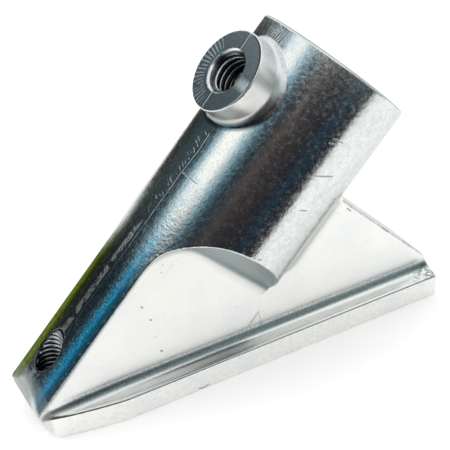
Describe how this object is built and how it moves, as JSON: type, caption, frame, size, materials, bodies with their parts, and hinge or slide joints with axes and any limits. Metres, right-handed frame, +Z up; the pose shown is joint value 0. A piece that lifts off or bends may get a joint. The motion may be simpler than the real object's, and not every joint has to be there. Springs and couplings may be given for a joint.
{
  "type": "stanchion base",
  "caption": "Forged stanchion base: inclined tube socket on a wedge web and flanged foot, with a tapped clamp boss and a tapped toe hole, each holding a set screw.",
  "frame": {"origin": "centre of the overall length and width, on the plane of the flat underside", "axes": "+Z up from the underside, +X along the foot from the toe towards the socket mouth's side, +Y to the left of +X; the XZ plane is the plane of symmetry, and the socket axis leans 45 degrees above +X"},
  "size_m": [0.0876, 0.031, 0.0655],
  "materials": {
    "zinc_plated_steel": "bright zinc plate with a blue passivate over a forged steel skin",
    "black_oxide_steel": "black oxide, lightly oiled"
  },
  "bodies": {
    "base": {"socket_forging": "zinc_plated_steel"},
    "clamp_screw": {"tube_clamp_screw": "black_oxide_steel"},
    "lock_screw": {"rail_lock_screw": "black_oxide_steel"}
  },
  "joints": [
    {"name": "clamp_screw_travel", "type": "slide", "parent": "base", "child": "clamp_screw", "axis": [-0.7071, 0, 0.7071], "range_m": [0, 0.005]},
    {"name": "lock_screw_travel", "type": "slide", "parent": "base", "child": "lock_screw", "axis": [0, 0, 1], "range_m": [-0.001, 0.003]}
  ]
}
